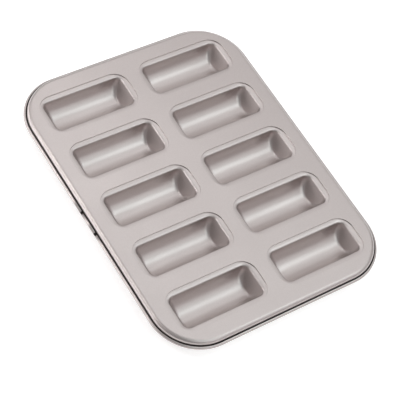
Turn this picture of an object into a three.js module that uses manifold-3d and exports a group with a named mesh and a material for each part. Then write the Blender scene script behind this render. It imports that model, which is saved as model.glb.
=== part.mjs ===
// Ten-cup financier pan: one steel sheet pressed into ten half-round cups, its edge turned down
// into a short skirt and rolled outwards round a steel wire.
// Millimetres, +Z up. X runs across the five rows of cups, Y along the cups, and the pan stands
// on the flats under its cups at Z = 0.

import * as THREE from 'three';
import { mergeVertices } from 'three/addons/utils/BufferGeometryUtils.js';
import Module from 'manifold-3d';

// Sheet and cup pattern
const sheet = 0.6;
const rows = 5;
const columns = 2;
const rowPitch = 58;
const columnPitch = 109.6;

// One cup, measured inside
const cupRadius = 16.8;
const cupCentreDepth = 2.2;
const footWidth = 5.2;
const mouthLength = 85;
const mouthCorner = 6;
const endDraft = 24;
const endFillet = 2;
const lipRadius = 1.6;

// Coined recess round each mouth
const recessDepth = 1.1;
const ledgeDrop = 0.35;
const recessLength = 95.6;
const recessWidth = 43.4;
const recessCorner = 15;

// Deck, skirt and rolled rim
const deckLength = 310.4;
const deckWidth = 236.8;
const deckCorner = 45;
const edgeRadius = 4;
const skirtLength = 2.2;
const curlEnd = 92;
const wireDiameter = 2;
const wireClearance = 0.25;

// Pair of hanging notches in the roll, on one long side, down to a floor above the wire's middle
const notchSpacing = 25;
const notchWidth = 3.2;
const notchFloor = 0.5;

// Facets
const cupCornerSteps = 4;
const deckCornerSteps = 8;
const lipSteps = 2;
const troughSteps = 5;
const edgeSteps = 4;
const curlSteps = 12;
const wireSides = 10;

const wasm = await Module();
wasm.setup();

const radians = THREE.MathUtils.degToRad;

// Points of a rounded rectangle at height z, counter-clockwise seen from above
function roundedRing(halfX, halfY, radius, z, steps) {
  const points = [];
  for (let corner = 0; corner < 4; corner++) {
    const signX = corner === 0 || corner === 3 ? 1 : -1;
    const signY = corner < 2 ? 1 : -1;
    for (let step = 0; step <= steps; step++) {
      const angle = (corner + step / steps) * Math.PI / 2;
      const x = signX * (halfX - radius) + radius * Math.cos(angle);
      const y = signY * (halfY - radius) + radius * Math.sin(angle);
      points.push(new THREE.Vector3(x, y, z));
    }
  }
  return points;
}

// Closed skin through rings that run downwards; a loop joins the last ring to the first,
// and otherwise the first ring is the lid and the last one the floor
function skin(rings, isLoop) {
  const count = rings[0].length;
  const positions = rings.flat().flatMap((point) => point.toArray());
  const triangles = [];
  const bands = isLoop ? rings.length : rings.length - 1;
  for (let band = 0; band < bands; band++) {
    const upper = band * count;
    const lower = ((band + 1) % rings.length) * count;
    for (let i = 0; i < count; i++) {
      const next = (i + 1) % count;
      triangles.push(upper + i, lower + i, lower + next);
      triangles.push(upper + i, lower + next, upper + next);
    }
  }
  if (!isLoop) {
    const floor = (rings.length - 1) * count;
    for (let i = 1; i < count - 1; i++) {
      triangles.push(0, i, i + 1);
      triangles.push(floor, floor + i + 1, floor + i);
    }
  }
  const geometry = new THREE.BufferGeometry();
  geometry.setAttribute('position', new THREE.Float32BufferAttribute(positions, 3));
  geometry.setIndex(triangles);
  return geometry;
}

function toSolid(geometry) {
  const bare = geometry.clone();
  bare.deleteAttribute('normal');
  bare.deleteAttribute('uv');
  const merged = mergeVertices(bare);
  return new wasm.Manifold(new wasm.Mesh({
    numProp: 3,
    vertProperties: new Float32Array(merged.attributes.position.array),
    triVerts: new Uint32Array(merged.index.array),
  }));
}

function toGeometry(solid) {
  const { vertProperties, triVerts } = solid.getMesh();
  const geometry = new THREE.BufferGeometry();
  geometry.setAttribute('position', new THREE.BufferAttribute(vertProperties, 3));
  geometry.setIndex(new THREE.BufferAttribute(triVerts, 1));
  return geometry;
}

// Cup: the trough's round is centred a little below the deck, and its flat foot sets the depth.
// The ledge of the recess slopes down to the lip, whose round touches the trough's at touchAngle
const cupDepth = cupCentreDepth + Math.sqrt(cupRadius ** 2 - (footWidth / 2) ** 2);
const deckHeight = cupCentreDepth + Math.sqrt((cupRadius + sheet) ** 2 - (footWidth / 2) ** 2);
const lipDepth = recessDepth + ledgeDrop + lipRadius;
const touchAngle = Math.asin((lipDepth - cupCentreDepth) / (cupRadius + lipRadius));
const draft = radians(endDraft);

// Half width of the cup at a depth below the deck, on a face moved outwards by offset:
// the round lip down to where it touches the trough's round, then that round
function halfAcross(depth, offset) {
  const lip = lipRadius - offset;
  const lipCentre = (cupRadius + lipRadius) * Math.cos(touchAngle);
  const touchDepth = cupCentreDepth + (cupRadius + offset) * Math.sin(touchAngle);
  if (depth < touchDepth) {
    return lipCentre - Math.sqrt(Math.max(lip ** 2 - (lipDepth - depth) ** 2, 0));
  }
  return Math.sqrt((cupRadius + offset) ** 2 - (depth - cupCentreDepth) ** 2);
}

// Half length of the cup likewise: the lip, the sloping end wall, and its fillet to the floor
function halfAlong(depth, offset) {
  const lip = lipRadius - offset;
  const fillet = endFillet + offset;
  const lipCentre = mouthLength / 2 + lipRadius * Math.cos(draft);
  const touchDepth = lipDepth - lip * Math.sin(draft);
  const wallTop = lipCentre - lip * Math.cos(draft);
  const filletDepth = cupDepth - endFillet;
  const wallEnd = filletDepth + fillet * Math.sin(draft);
  const filletCentre = wallTop - (wallEnd - touchDepth) * Math.tan(draft) - fillet * Math.cos(draft);
  if (depth < touchDepth) {
    return lipCentre - Math.sqrt(Math.max(lip ** 2 - (lipDepth - depth) ** 2, 0));
  }
  if (depth < wallEnd) {
    return wallTop - (depth - touchDepth) * Math.tan(draft);
  }
  return filletCentre + Math.sqrt(Math.max(fillet ** 2 - (depth - filletDepth) ** 2, 0));
}

// Solid inside a cup's face: offset 0 fills the hollow, offset sheet reaches its outside
function cupSolid(offset, topHeight) {
  const rings = [];
  const recessHalfX = recessWidth / 2 + offset;
  const recessHalfY = recessLength / 2 + offset;
  const recessFloor = deckHeight - recessDepth - offset;
  for (const height of [topHeight, recessFloor]) {
    rings.push(roundedRing(recessHalfX, recessHalfY, recessCorner + offset, height, cupCornerSteps));
  }
  const lip = lipRadius - offset;
  const depths = [];
  for (let step = 0; step < lipSteps; step++) {
    depths.push(lipDepth - lip * Math.cos(step / lipSteps * Math.PI / 2));
  }
  const lastAngle = Math.acos(footWidth / 2 / (cupRadius + offset));
  for (let step = 0; step <= troughSteps; step++) {
    const angle = touchAngle + (lastAngle - touchAngle) * step / troughSteps;
    depths.push(cupCentreDepth + (cupRadius + offset) * Math.sin(angle));
  }
  for (const depth of depths) {
    const halfX = halfAcross(depth, offset);
    const halfY = halfAlong(depth, offset);
    const troughX = Math.min(halfX, cupRadius);
    const corner = mouthCorner * troughX / (mouthCorner + troughX) + halfX - troughX;
    rings.push(roundedRing(halfX, halfY, corner, deckHeight - depth, cupCornerSteps));
  }
  return toSolid(skin(rings, false));
}

// Sheet edge in section, as offsets outwards from the deck's edge and heights above the foot:
// the middle line goes round the deck's edge, down the skirt and round the wire
const edgeCentre = new THREE.Vector2(-edgeRadius, deckHeight - edgeRadius);
const edgeMiddle = edgeRadius - sheet / 2;
const curlMiddle = wireDiameter / 2 + wireClearance + sheet / 2;
const curlCentre = new THREE.Vector2(curlMiddle - sheet / 2, edgeCentre.y - skirtLength);

function arc(centre, radius, startAngle, endAngle, steps) {
  const points = [];
  for (let step = 0; step <= steps; step++) {
    const angle = startAngle + (endAngle - startAngle) * step / steps;
    points.push(new THREE.Vector2(
      centre.x + radius * Math.cos(angle), centre.y + radius * Math.sin(angle)));
  }
  return points;
}

// One face of the sheet edge from the deck to the raw end, side +1 outside and -1 inside
function edgeFace(side) {
  const edge = arc(edgeCentre, edgeMiddle + side * sheet / 2, Math.PI / 2, 0, edgeSteps);
  const curlRadius = curlMiddle - side * sheet / 2;
  const curl = arc(curlCentre, curlRadius, Math.PI, Math.PI * 2 + radians(curlEnd), curlSteps);
  return [...edge, ...curl];
}

// Section points carried round the deck's outline
function carryRound(section) {
  return section.map((point) => roundedRing(
    deckLength / 2 + point.x, deckWidth / 2 + point.x, deckCorner + point.x, point.y, deckCornerSteps));
}

function makePressing() {
  const edge = [...edgeFace(1), ...edgeFace(-1).reverse()];
  let pressing = toSolid(skin(carryRound(edge), false));
  const hollow = cupSolid(0, deckHeight + sheet);
  const outside = cupSolid(sheet, deckHeight - sheet / 2);
  const hollows = [];
  for (let row = 0; row < rows; row++) {
    for (let column = 0; column < columns; column++) {
      const place = [(row - (rows - 1) / 2) * rowPitch, (column - (columns - 1) / 2) * columnPitch, 0];
      pressing = pressing.add(outside.translate(place));
      hollows.push(hollow.translate(place));
    }
  }
  for (const cup of hollows) {
    pressing = pressing.subtract(cup);
  }
  const curlRadius = curlMiddle + sheet / 2;
  const slit = curlCentre.x + curlRadius * Math.cos(radians(curlEnd));
  const reach = curlCentre.x + curlRadius;
  const notch = new THREE.BoxGeometry(notchWidth, reach, curlRadius * 2);
  for (const side of [-1, 1]) {
    const cut = notch.clone();
    const y = -deckWidth / 2 - slit / 2 - reach / 2;
    cut.translate(side * notchSpacing / 2, y, curlCentre.y + notchFloor + curlRadius);
    pressing = pressing.subtract(toSolid(cut));
  }
  return toGeometry(pressing);
}

function makeWire() {
  const section = arc(curlCentre, wireDiameter / 2, 0, -Math.PI * 2, wireSides).slice(0, wireSides);
  return skin(carryRound(section), true);
}

const coatedSteel = new THREE.MeshStandardMaterial({ color: 0xcbc3c2, roughness: 0.38, metalness: 0.6 });
const bareWire = new THREE.MeshStandardMaterial({ color: 0x4a4644, roughness: 0.45, metalness: 0.9 });

function named(name, geometry, material) {
  const mesh = new THREE.Mesh(geometry, material);
  mesh.name = name;
  return mesh;
}

const financierPan = new THREE.Group();
financierPan.name = 'financier_pan';
financierPan.add(named('pan_pressing', makePressing(), coatedSteel));
financierPan.add(named('rim_wire', makeWire(), bareWire));

export default financierPan;
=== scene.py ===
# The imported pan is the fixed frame.
from math import acos, asin, atan2, cos, pi, radians, sin, sqrt, tan

import bpy
import numpy as np
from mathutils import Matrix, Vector
from mathutils.geometry import delaunay_2d_cdt


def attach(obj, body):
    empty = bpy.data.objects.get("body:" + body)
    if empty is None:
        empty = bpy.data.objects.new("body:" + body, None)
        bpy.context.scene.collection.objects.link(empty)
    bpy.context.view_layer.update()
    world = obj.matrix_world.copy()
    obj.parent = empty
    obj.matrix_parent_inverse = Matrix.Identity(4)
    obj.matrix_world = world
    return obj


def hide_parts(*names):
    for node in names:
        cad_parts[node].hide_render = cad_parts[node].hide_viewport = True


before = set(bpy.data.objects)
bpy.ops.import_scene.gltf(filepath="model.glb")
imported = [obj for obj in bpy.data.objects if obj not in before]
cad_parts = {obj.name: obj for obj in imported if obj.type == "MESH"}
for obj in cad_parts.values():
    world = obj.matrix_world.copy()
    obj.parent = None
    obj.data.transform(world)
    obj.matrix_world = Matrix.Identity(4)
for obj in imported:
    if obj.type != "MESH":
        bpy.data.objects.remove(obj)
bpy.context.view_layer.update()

# Cups: ten half-round troughs drawn in the steel sheet, each with sloping end walls, a rolled-over lip and
# a shallow recess coined round its mouth. They are worked out here, and join the deck further down.
# Sizes are in millimetres, and depths are below the deck.
SHEET = 0.6
ROWS, COLUMNS = 5, 2
ROW_PITCH, COLUMN_PITCH = 58.0, 109.6
CUP_RADIUS, CUP_CENTRE = 16.8, 2.2
FOOT_WIDTH = 5.2
FOOT_BLEND = 15.0
MOUTH_LENGTH = 85.0
MOUTH_CORNER = 6.0
CORNER_FLARE, FLARE_DEPTH = 1.6, 9.0
END_DRAFT = radians(24)
END_FILLET = 2.0
LIP_RADIUS, END_LIP = 1.6, 1.8
RECESS_DEPTH = 1.1
LEDGE_DROP, LEDGE_TILT = 0.35, radians(12)
RECESS_LENGTH, RECESS_WIDTH, RECESS_CORNER = 95.6, 43.4, 15.0
STEP_ROUND = 0.12
FLAT_MARGIN = 0.3
BLEND_POINTS, TROUGH_POINTS, LIP_POINTS, ROUND_POINTS = 4, 20, 10, 4
CUP_CORNER_STEPS, CUP_X_STEPS, CUP_Y_STEPS = 8, 5, 10
LIP_DEPTH = RECESS_DEPTH + LEDGE_DROP + LIP_RADIUS
CUP_DEPTH = CUP_CENTRE + sqrt(CUP_RADIUS**2 - (FOOT_WIDTH / 2) ** 2)
DECK_HEIGHT = CUP_CENTRE + sqrt((CUP_RADIUS + SHEET) ** 2 - (FOOT_WIDTH / 2) ** 2)


def along_side(steps):
    """Fractions of the way along a side that is cut into equal steps, without its two ends."""
    return np.linspace(0, 1, steps + 1)[1:-1]


def walk_round(corner_steps, x_side, y_side):
    """Walk round a unit square, counter-clockwise seen from above, as two arrays of points: the place
    on the square, and the direction that faces outwards there. At a corner the place stays and the
    direction turns a quarter; on a side the direction stays and the place moves by the fractions."""
    corners = np.array([[1, 1], [-1, 1], [-1, -1], [1, -1]], float)
    places, turns = [], []
    for quarter in range(4):
        start, end = corners[quarter], corners[(quarter + 1) % 4]
        fractions = (x_side, y_side)[quarter % 2]
        places.append(np.tile(start, (corner_steps + 1, 1)))
        places.append(start + (end - start) * fractions[:, None])
        turns.append(quarter + np.linspace(0, 1, corner_steps + 1))
        turns.append(np.full(len(fractions), quarter + 1.0))
    angle = np.concatenate(turns) * pi / 2
    return np.concatenate(places), np.column_stack([np.cos(angle), np.sin(angle)])


def carry_round(walk, half_x, half_y, corner, height):
    """Surface of a section carried round a rounded rectangle, one row for each section point: the
    walk's place times the half sides less the corner radius, plus the walk's direction times it."""
    places, directions = walk
    grid = np.empty((len(height), len(places), 3))
    grid[..., 0] = np.outer(half_x - corner, places[:, 0]) + np.outer(corner, directions[:, 0])
    grid[..., 1] = np.outer(half_y - corner, places[:, 1]) + np.outer(corner, directions[:, 1])
    grid[..., 2] = height[:, None]
    return grid


def ring_faces(rows, columns):
    """Four-sided faces of a grid whose rows are closed rings that run outwards: each joins a point,
    the point beyond it in the next ring, and the two that follow these round the rings."""
    point = np.arange((rows - 1) * columns)
    after = np.where(point % columns == columns - 1, point - columns + 1, point + 1)
    return np.column_stack([point, point + columns, after + columns, after])


def half_along(depth, offset):
    """Half length of a cup at depths below the deck, on a face moved outwards by offset: an ellipse's
    quarter over the lip, the end wall's straight slope where the two run alike, then its floor fillet."""
    lip, reach, fillet = LIP_RADIUS - offset, END_LIP - offset, END_FILLET + offset
    lip_centre = MOUTH_LENGTH / 2 + END_LIP * sin(atan2(END_LIP, LIP_RADIUS * tan(END_DRAFT)))
    lip_end = atan2(reach, lip * tan(END_DRAFT))
    wall_start = LIP_DEPTH - lip * cos(lip_end)
    wall_top = lip_centre - reach * sin(lip_end)
    fillet_depth = CUP_DEPTH - END_FILLET
    wall_end = fillet_depth + fillet * sin(END_DRAFT)
    fillet_centre = wall_top - (wall_end - wall_start) * tan(END_DRAFT) - fillet * cos(END_DRAFT)
    on_lip = lip_centre - reach * np.sqrt(np.maximum(1 - ((LIP_DEPTH - depth) / lip) ** 2, 0))
    on_wall = wall_top - (depth - wall_start) * tan(END_DRAFT)
    on_fillet = fillet_centre + np.sqrt(np.maximum(fillet**2 - (depth - fillet_depth) ** 2, 0))
    return np.select([depth < wall_start, depth < wall_end], [on_lip, on_wall], on_fillet)


def cup_grid(walk, offset):
    """One face of a cup from its foot outwards, moved from the upper face by offset. Across, the section
    is the flat foot, a blend arc, the trough's arc centred just below the deck, the lip's arc, a ledge
    that rises from it as a parabola to its level outer edge, and the recess's step: a short upright
    between two small rounds. The corner radius grows with the width, and flares near the lip."""
    foot_drop = CUP_DEPTH - CUP_CENTRE - FOOT_BLEND
    blend_start = sqrt((CUP_RADIUS - FOOT_BLEND) ** 2 - foot_drop**2)
    blend_end = asin(blend_start / (CUP_RADIUS - FOOT_BLEND))
    lip_touch = acos((LIP_DEPTH - CUP_CENTRE) / (CUP_RADIUS + LIP_RADIUS))
    lip_centre = (CUP_RADIUS + LIP_RADIUS) * sin(lip_touch)
    blend = np.linspace(0, blend_end, BLEND_POINTS)
    trough = np.linspace(blend_end, lip_touch, TROUGH_POINTS)[1:]
    lip = np.linspace(lip_touch, LEDGE_TILT, LIP_POINTS)[1:]
    inner_x = np.concatenate([
        blend_start + (FOOT_BLEND + offset) * np.sin(blend),
        (CUP_RADIUS + offset) * np.sin(trough),
        lip_centre - (LIP_RADIUS - offset) * np.sin(lip),
    ])
    inner_depth = np.concatenate([
        CUP_DEPTH - FOOT_BLEND + (FOOT_BLEND + offset) * np.cos(blend),
        CUP_CENTRE + (CUP_RADIUS + offset) * np.cos(trough),
        LIP_DEPTH - (LIP_RADIUS - offset) * np.cos(lip),
    ])
    foot = np.linspace(0, pi / 2, ROUND_POINTS)
    brow = np.linspace(pi / 2, 0, ROUND_POINTS)
    outer_x = np.concatenate([
        (STEP_ROUND + offset) * np.sin(foot) - STEP_ROUND,
        offset + STEP_ROUND * (1 - np.sin(brow)),
        [offset + STEP_ROUND + FLAT_MARGIN],
    ])
    outer_depth = np.concatenate([
        RECESS_DEPTH - STEP_ROUND + (STEP_ROUND + offset) * np.cos(foot),
        offset + STEP_ROUND * (1 - np.cos(brow)),
        [offset],
    ])
    touch_x = CUP_RADIUS * sin(lip_touch)
    trough_x = np.minimum(inner_x, touch_x)
    flare = CORNER_FLARE * np.clip((FLARE_DEPTH - inner_depth) / (FLARE_DEPTH - LIP_DEPTH), 0, 1) ** 2
    inner_corner = MOUTH_CORNER * trough_x / (MOUTH_CORNER + trough_x) + inner_x - trough_x + flare
    inner = np.stack([inner_x, half_along(inner_depth, offset), inner_corner])
    outer = np.stack([outer_x + RECESS_WIDTH / 2, outer_x + RECESS_LENGTH / 2, outer_x + RECESS_CORNER])
    across = np.array([0.3, 0.6, 0.9])
    ledge = inner[:, -1:] + (outer[:, :1] - inner[:, -1:]) * across
    ledge_depth = outer_depth[0] + (inner_depth[-1] - outer_depth[0]) * (1 - across) ** 2
    half_x, half_y, corner = np.concatenate([inner, ledge, outer], axis=1)
    height = DECK_HEIGHT - np.concatenate([inner_depth, ledge_depth, outer_depth])
    return carry_round(walk, half_x, half_y, corner, height)


cup_walk = walk_round(CUP_CORNER_STEPS, along_side(CUP_X_STEPS), along_side(CUP_Y_STEPS))
one_cup = np.stack([cup_grid(cup_walk, 0), cup_grid(cup_walk, SHEET)])
row_x = (np.arange(ROWS) - (ROWS - 1) / 2) * ROW_PITCH
column_y = (np.arange(COLUMNS) - (COLUMNS - 1) / 2) * COLUMN_PITCH
cup_places = np.stack(np.meshgrid(row_x, column_y, [0.0], indexing="ij"), axis=-1).reshape(-1, 3)
cups = cup_places[:, None, None] + one_cup[:, None]
cup_rings, cup_points = cups.shape[2:4]
cup_starts = np.arange(len(cup_places)) * cup_rings * cup_points
cup_faces = ring_faces(cup_rings, cup_points) + cup_starts[:, None, None]
foot_faces = np.arange(cup_points) + cup_starts[:, None]
mouth_rings = cup_starts[:, None] + (cup_rings - 1) * cup_points + np.arange(cup_points)

# Rim: the sheet's edge, turned down over a round into a short skirt and rolled outwards and up round the
# wire. Two short notches in the roll, on one long side, are for hanging the pan.
DECK_LENGTH, DECK_WIDTH, DECK_CORNER = 310.4, 236.8, 45.0
EDGE_RADIUS = 4.0
SKIRT_LENGTH = 2.2
WIRE_RADIUS, WIRE_CLEARANCE = 1.0, 0.25
ROLL_RADIUS = WIRE_RADIUS + WIRE_CLEARANCE
ROLL_HEIGHT = DECK_HEIGHT - EDGE_RADIUS - SKIRT_LENGTH
ROLL_END, NOTCH_START = radians(452), radians(376)
NOTCH_SPACING, NOTCH_WIDTH = 25.0, 3.2
EDGE_POINTS, ROLL_POINTS, NOTCH_STEPS = 11, 20, 10
RIM_CORNER_STEPS, RIM_X_STEPS, RIM_Y_STEPS = 24, 16, 12


def carry_rim(walk, out, height):
    """Surface of a section carried round the deck's outline, its distances added to the half sides and
    to the corner radius alike, so that the section stays square to the outline."""
    return carry_round(walk, DECK_LENGTH / 2 + out, DECK_WIDTH / 2 + out, DECK_CORNER + out, height)


def rim_grid(walk, offset):
    """One face of the rim from the deck to the raw edge, moved from the upper face by offset. In section
    it is a quarter round, a straight drop, then the roll's arc about the wire, from level with it."""
    turn = np.linspace(0, pi / 2, EDGE_POINTS)
    roll = np.concatenate([
        np.linspace(pi, NOTCH_START, ROLL_POINTS),
        np.linspace(NOTCH_START, ROLL_END, NOTCH_STEPS + 1)[1:],
    ])
    out = np.concatenate([
        [-EDGE_RADIUS - FLAT_MARGIN],
        (EDGE_RADIUS - offset) * np.sin(turn) - EDGE_RADIUS,
        ROLL_RADIUS + (ROLL_RADIUS + offset) * np.cos(roll),
    ])
    height = np.concatenate([
        [DECK_HEIGHT - offset],
        DECK_HEIGHT - EDGE_RADIUS + (EDGE_RADIUS - offset) * np.cos(turn),
        ROLL_HEIGHT + (ROLL_RADIUS + offset) * np.sin(roll),
    ])
    return carry_rim(walk, out, height)


side_run = DECK_LENGTH - 2 * DECK_CORNER
notch_edges = np.add.outer([-NOTCH_SPACING, NOTCH_SPACING], [-NOTCH_WIDTH, NOTCH_WIDTH]).ravel() / 2
x_side = np.sort(np.concatenate([along_side(RIM_X_STEPS), 0.5 + notch_edges / side_run]))
rim_walk = walk_round(RIM_CORNER_STEPS, x_side, along_side(RIM_Y_STEPS))
rim = np.stack([rim_grid(rim_walk, 0), rim_grid(rim_walk, SHEET)])
rim_rings, rim_points = rim.shape[1:3]
rim_faces = ring_faces(rim_rings, rim_points)
face_middle = rim[0].reshape(-1, 3)[rim_faces].mean(axis=1)
from_notch = np.abs(np.abs(face_middle[:, 0]) - NOTCH_SPACING / 2)
in_notch = (from_notch < NOTCH_WIDTH / 2) & (face_middle[:, 1] < 0)
in_notch &= np.arange(len(rim_faces)) // rim_points >= rim_rings - 1 - NOTCH_STEPS
rim_start = cup_starts[-1] + cup_rings * cup_points
rim_faces = rim_faces[~in_notch] + rim_start

# Deck: the flat of the sheet between the cups and the rim. It makes the pressing one sheet: an upper
# face, the same face moved down by the sheet's thickness, and the raw edge that joins the two.
MM = 0.001
SAME_POINT = 1e-6


def flat_between(points, rings):
    """Level Delaunay triangles between a first ring of points and the rings inside it, all given as
    indices, counter-clockwise seen from above."""
    indices = np.concatenate(rings)
    ends = np.cumsum([len(ring) for ring in rings])
    loops = [list(range(end - len(ring), end)) for ring, end in zip(rings, ends)]
    inside_with_holes = 2
    plan = points[indices, :2].tolist()
    _, _, triangles, *_ = delaunay_2d_cdt(plan, [], loops, inside_with_holes, SAME_POINT)
    return indices[np.array(triangles)]


def raw_edge(face_groups, count):
    """Faces that join the upper face's open edges to the lower face's, whose indices are count higher:
    an edge is open if no other face has it the other way round."""
    sides = [np.stack([group, np.roll(group, -1, axis=1)], axis=-1) for group in face_groups]
    edges = np.concatenate([side.reshape(-1, 2) for side in sides])
    forward, backward = edges @ [count, 1], edges @ [1, count]
    start, end = edges[~np.isin(forward, backward)].T
    return np.column_stack([start, start + count, end + count, end])


def mesh_piece(name, points, *face_groups):
    """Mesh object at the origin, smooth-shaded, from points in millimetres and arrays of faces."""
    faces = [face for group in face_groups for face in group.tolist()]
    mesh = bpy.data.meshes.new(name)
    mesh.from_pydata((points * MM).tolist(), [], faces)
    mesh.shade_smooth()
    piece = bpy.data.objects.new(name, mesh)
    bpy.context.collection.objects.link(piece)
    return piece


upper, lower = np.concatenate([cups.reshape(2, -1, 3), rim.reshape(2, -1, 3)], axis=1)
deck_faces = flat_between(upper, [rim_start + np.arange(rim_points), *mouth_rings])
sheet_faces = [cup_faces.reshape(-1, 4), foot_faces, rim_faces, deck_faces]
under_faces = [group[:, ::-1] + len(upper) for group in sheet_faces]
edge_faces = raw_edge(sheet_faces, len(upper))
pressing = mesh_piece("pan_sheet", np.concatenate([upper, lower]), *sheet_faces, *under_faces, edge_faces)
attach(pressing, "root")
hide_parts("pan_pressing")

# Non-stick coat: a silicone enamel with fine metal flake, sprayed on the steel and baked. The flake gives
# a satin, slightly pink grey with a broad soft highlight, the clear resin over it a weak, whiter gloss, and
# the spraying faint clouds. The flake is drawn far coarser than it is, so that its grain shows.
COAT_TINT, COAT_GLINT = "c3b8b6", "cbc1bf"
FLAKE_GRAIN, FLAKE_HEIGHT, FLAKE_BUMP = 1.1, 0.05, 0.06
CLOUD_GRAIN, CLOUD_LOW, CLOUD_HIGH = 45.0, 0.3, 0.7
SATIN_LOW, SATIN_HIGH = 0.41, 0.46
RESIN_ROUGHNESS = 0.22


def linear(hex_colour):
    """Linear RGBA of an sRGB hex colour: each channel over 255, through the sRGB curve."""
    srgb = np.array([int(hex_colour[i : i + 2], 16) for i in (0, 2, 4)]) / 255
    channels = np.where(srgb <= 0.04045, srgb / 12.92, ((srgb + 0.055) / 1.055) ** 2.4)
    return (*channels.tolist(), 1.0)


def add_node(tree, kind, inputs, **settings):
    """Adds a node with its settings; inputs gives a value or a link for sockets by name or number."""
    node = tree.nodes.new(kind)
    for key, value in settings.items():
        setattr(node, key, value)
    for key, value in inputs.items():
        if isinstance(value, bpy.types.NodeSocket):
            tree.links.new(value, node.inputs[key])
        else:
            node.inputs[key].default_value = value
    return node


def new_material(name):
    """Material with an empty node tree."""
    material = bpy.data.materials.new(name)
    material.use_nodes = True
    material.node_tree.nodes.clear()
    return material, material.node_tree


coat, tree = new_material("silicone_flake_coat")
place = add_node(tree, "ShaderNodeTexCoord", {}).outputs["Object"]
flake = add_node(
    tree, "ShaderNodeTexNoise", {"Vector": place, "Scale": 1 / (FLAKE_GRAIN * MM), "Detail": 1.0}
)
cloud = add_node(
    tree, "ShaderNodeTexNoise", {"Vector": place, "Scale": 1 / (CLOUD_GRAIN * MM), "Detail": 2.0}
)
glint = add_node(
    tree, "ShaderNodeMix",
    {"Factor": flake.outputs["Fac"], "A": linear(COAT_TINT), "B": linear(COAT_GLINT)}, data_type="RGBA",
)
satin = add_node(
    tree, "ShaderNodeMapRange",
    {
        "Value": cloud.outputs["Fac"], "From Min": CLOUD_LOW, "From Max": CLOUD_HIGH,
        "To Min": SATIN_LOW, "To Max": SATIN_HIGH,
    },
)
grain = add_node(
    tree, "ShaderNodeBump",
    {"Strength": FLAKE_BUMP, "Distance": FLAKE_HEIGHT * MM, "Height": flake.outputs["Fac"]},
)
shader = add_node(
    tree, "ShaderNodeBsdfPrincipled",
    {
        "Base Color": glint.outputs["Result"], "Metallic": 1.0, "Roughness": satin.outputs["Result"],
        "Normal": grain.outputs["Normal"], "Coat Weight": 1.0, "Coat Roughness": RESIN_ROUGHNESS,
    },
)
add_node(tree, "ShaderNodeOutputMaterial", {"Surface": shader.outputs["BSDF"]})
pressing.data.materials.append(coat)

# Rim wire: one drawn steel wire bent to the pan's outline and closed inside the roll. It stiffens the
# edge, and shows only in the notches. Its round section is carried along the middle of the roll.
WIRE_SIDES = 16
wire_turn = np.linspace(2 * pi, 0, WIRE_SIDES + 1)
wire = carry_rim(
    rim_walk,
    ROLL_RADIUS + WIRE_RADIUS * np.cos(wire_turn),
    ROLL_HEIGHT + WIRE_RADIUS * np.sin(wire_turn),
)
wire_faces = ring_faces(WIRE_SIDES + 1, rim_points) % (WIRE_SIDES * rim_points)
rim_wire = mesh_piece("rim_wire_drawn", wire[:-1].reshape(-1, 3), wire_faces)
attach(rim_wire, "root")
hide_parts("rim_wire")

# Drawn steel wire: bare metal, coloured nearly black as painted shade for the shaded inside of the roll,
# so that it shows dark in the notches, shiny in some places and dull in others.
# Painted shade: this near-black colour stands for the shade inside the roll where the notches open it.
WIRE_PAINTED_SHADE = "2b2725"
WIRE_MARK = 0.8
WIRE_SHINY, WIRE_DULL = 0.35, 0.6
steel, tree = new_material("drawn_steel_wire")
place = add_node(tree, "ShaderNodeTexCoord", {}).outputs["Object"]
marks = add_node(
    tree, "ShaderNodeTexNoise", {"Vector": place, "Scale": 1 / (WIRE_MARK * MM), "Detail": 2.0}
)
dulled = add_node(
    tree, "ShaderNodeMapRange", {"Value": marks.outputs["Fac"], "To Min": WIRE_SHINY, "To Max": WIRE_DULL}
)
shader = add_node(
    tree, "ShaderNodeBsdfPrincipled",
    {"Base Color": linear(WIRE_PAINTED_SHADE), "Metallic": 1.0, "Roughness": dulled.outputs["Result"]},
)
add_node(tree, "ShaderNodeOutputMaterial", {"Surface": shader.outputs["BSDF"]})
rim_wire.data.materials.append(steel)

# Floor: a plain white studio sheet under the pan, which keeps its shadow. It glows for the camera and for
# reflections alone, more where the softboxes don't reach, so that the ground is white without more light
# on the pan.
FLOOR_HALF = 4000.0
PAPER_COLOUR, PAPER_ROUGHNESS = "f2f2f2", 0.9
FLOOR_GLOW, FAR_GLOW = 0.55, 1.0
GLOW_START, GLOW_END = 450.0, 1800.0
floor_points = np.array([[-1, -1, 0], [1, -1, 0], [1, 1, 0], [-1, 1, 0]]) * FLOOR_HALF
floor = mesh_piece("studio_floor", floor_points, np.arange(4)[None])
paper, tree = new_material("white_paper")
ray = add_node(tree, "ShaderNodeLightPath", {}).outputs
mirrored = add_node(
    tree, "ShaderNodeMath", {0: ray["Is Glossy Ray"], 1: ray["Is Transmission Ray"]}, operation="MAXIMUM"
)
seen = add_node(
    tree, "ShaderNodeMath", {0: ray["Is Camera Ray"], 1: mirrored.outputs[0]}, operation="MAXIMUM"
)
place = add_node(tree, "ShaderNodeTexCoord", {}).outputs["Object"]
away = add_node(tree, "ShaderNodeVectorMath", {0: place}, operation="LENGTH")
level = add_node(
    tree, "ShaderNodeMapRange",
    {
        "Value": away.outputs["Value"], "From Min": GLOW_START * MM, "From Max": GLOW_END * MM,
        "To Min": FLOOR_GLOW, "To Max": FAR_GLOW,
    },
)
glow = add_node(
    tree, "ShaderNodeMath", {0: seen.outputs[0], 1: level.outputs["Result"]}, operation="MULTIPLY"
)
shader = add_node(
    tree, "ShaderNodeBsdfPrincipled",
    {
        "Base Color": linear(PAPER_COLOUR), "Roughness": PAPER_ROUGHNESS,
        "Emission Color": linear("ffffff"), "Emission Strength": glow.outputs[0],
    },
)
add_node(tree, "ShaderNodeOutputMaterial", {"Surface": shader.outputs["BSDF"]})
floor.data.materials.append(paper)

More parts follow.
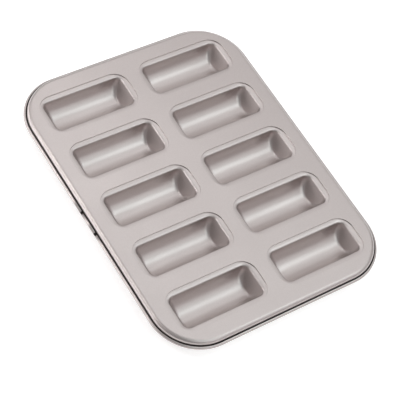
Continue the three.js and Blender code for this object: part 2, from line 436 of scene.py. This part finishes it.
# Light: a dim white room with softboxes round the pan. The high ones are what the deck and the cups' floors
# mirror, the low strip on the left lights the cups' far ends, and a small key there gives the lips a line.
ROOM_LEVEL = 0.2
SOFTBOX_DISTANCE = 1400.0
scene = bpy.context.scene
scene.world = bpy.data.worlds.new("white_room")
scene.world.use_nodes = True
room = scene.world.node_tree.nodes["Background"].inputs
room["Color"].default_value = linear("ffffff")
room["Strength"].default_value = ROOM_LEVEL


def softbox(name, azimuth, elevation, width, height, level, tint):
    """Softbox that faces the pan's middle, in degrees from +X and up, and millimetres, in an sRGB tint. Its
    power in watts is pi times its area in square metres times the level, where 1 is as bright as a white
    floor."""
    around, up = radians(azimuth), radians(elevation)
    toward = Vector((cos(up) * cos(around), cos(up) * sin(around), sin(up)))
    lamp = bpy.data.lights.new(name, "AREA")
    lamp.shape = "RECTANGLE"
    lamp.size, lamp.size_y = width * MM, height * MM
    lamp.energy = pi * lamp.size * lamp.size_y * level
    lamp.color = linear(tint)[:3]
    holder = bpy.data.objects.new(name, lamp)
    holder.location = toward * SOFTBOX_DISTANCE * MM
    holder.rotation_euler = toward.to_track_quat("Z", "Y").to_euler()
    holder.visible_camera = False
    bpy.context.collection.objects.link(holder)


softbox("high_right_softbox", 20, 65, 1200, 700, 0.65, "f3ffff")
softbox("high_softbox", 60, 60, 600, 500, 1.7, "f3ffff")
softbox("high_far_softbox", 121, 66, 1200, 700, 0.97, "fbffff")
softbox("high_left_softbox", 160, 60, 600, 500, 0.56, "ffffff")
softbox("right_softbox", 36, 35, 2000, 600, 0.7, "ffffff")
softbox("near_right_softbox", 0, 45, 800, 500, 1.15, "f3ffff")
softbox("far_softbox", 130, 40, 1400, 600, 0.5, "ffffff")
softbox("far_left_softbox", 180, 38, 800, 600, 0.95, "ffffff")
softbox("low_far_strip", 120, 10, 1600, 400, 0.8, "ffffff")
softbox("low_left_strip", 232, 12, 1500, 400, 2.8, "ffffff")
softbox("left_key", 235, 46, 400, 400, 6.5, "ffffff")
softbox("near_softbox", 285, 35, 800, 600, 0.2, "ffffff")

# Camera: a long lens high over the corner between the +X and -Y sides, as in the photograph, and rolled
# a little.
CAMERA_PLACE = np.array([545.7, -592.6, DECK_HEIGHT + 1101.99])
CAMERA_TURN = np.radians([33.671, -11.051, 58.196])
lens = bpy.data.cameras.new("camera")
lens.sensor_width = 36
lens.lens = 131.534
lens.clip_end = 20
camera = bpy.data.objects.new("camera", lens)
camera.location = CAMERA_PLACE * MM
camera.rotation_euler = CAMERA_TURN
bpy.context.collection.objects.link(camera)
scene.camera = camera
scene.view_settings.view_transform = "Standard"
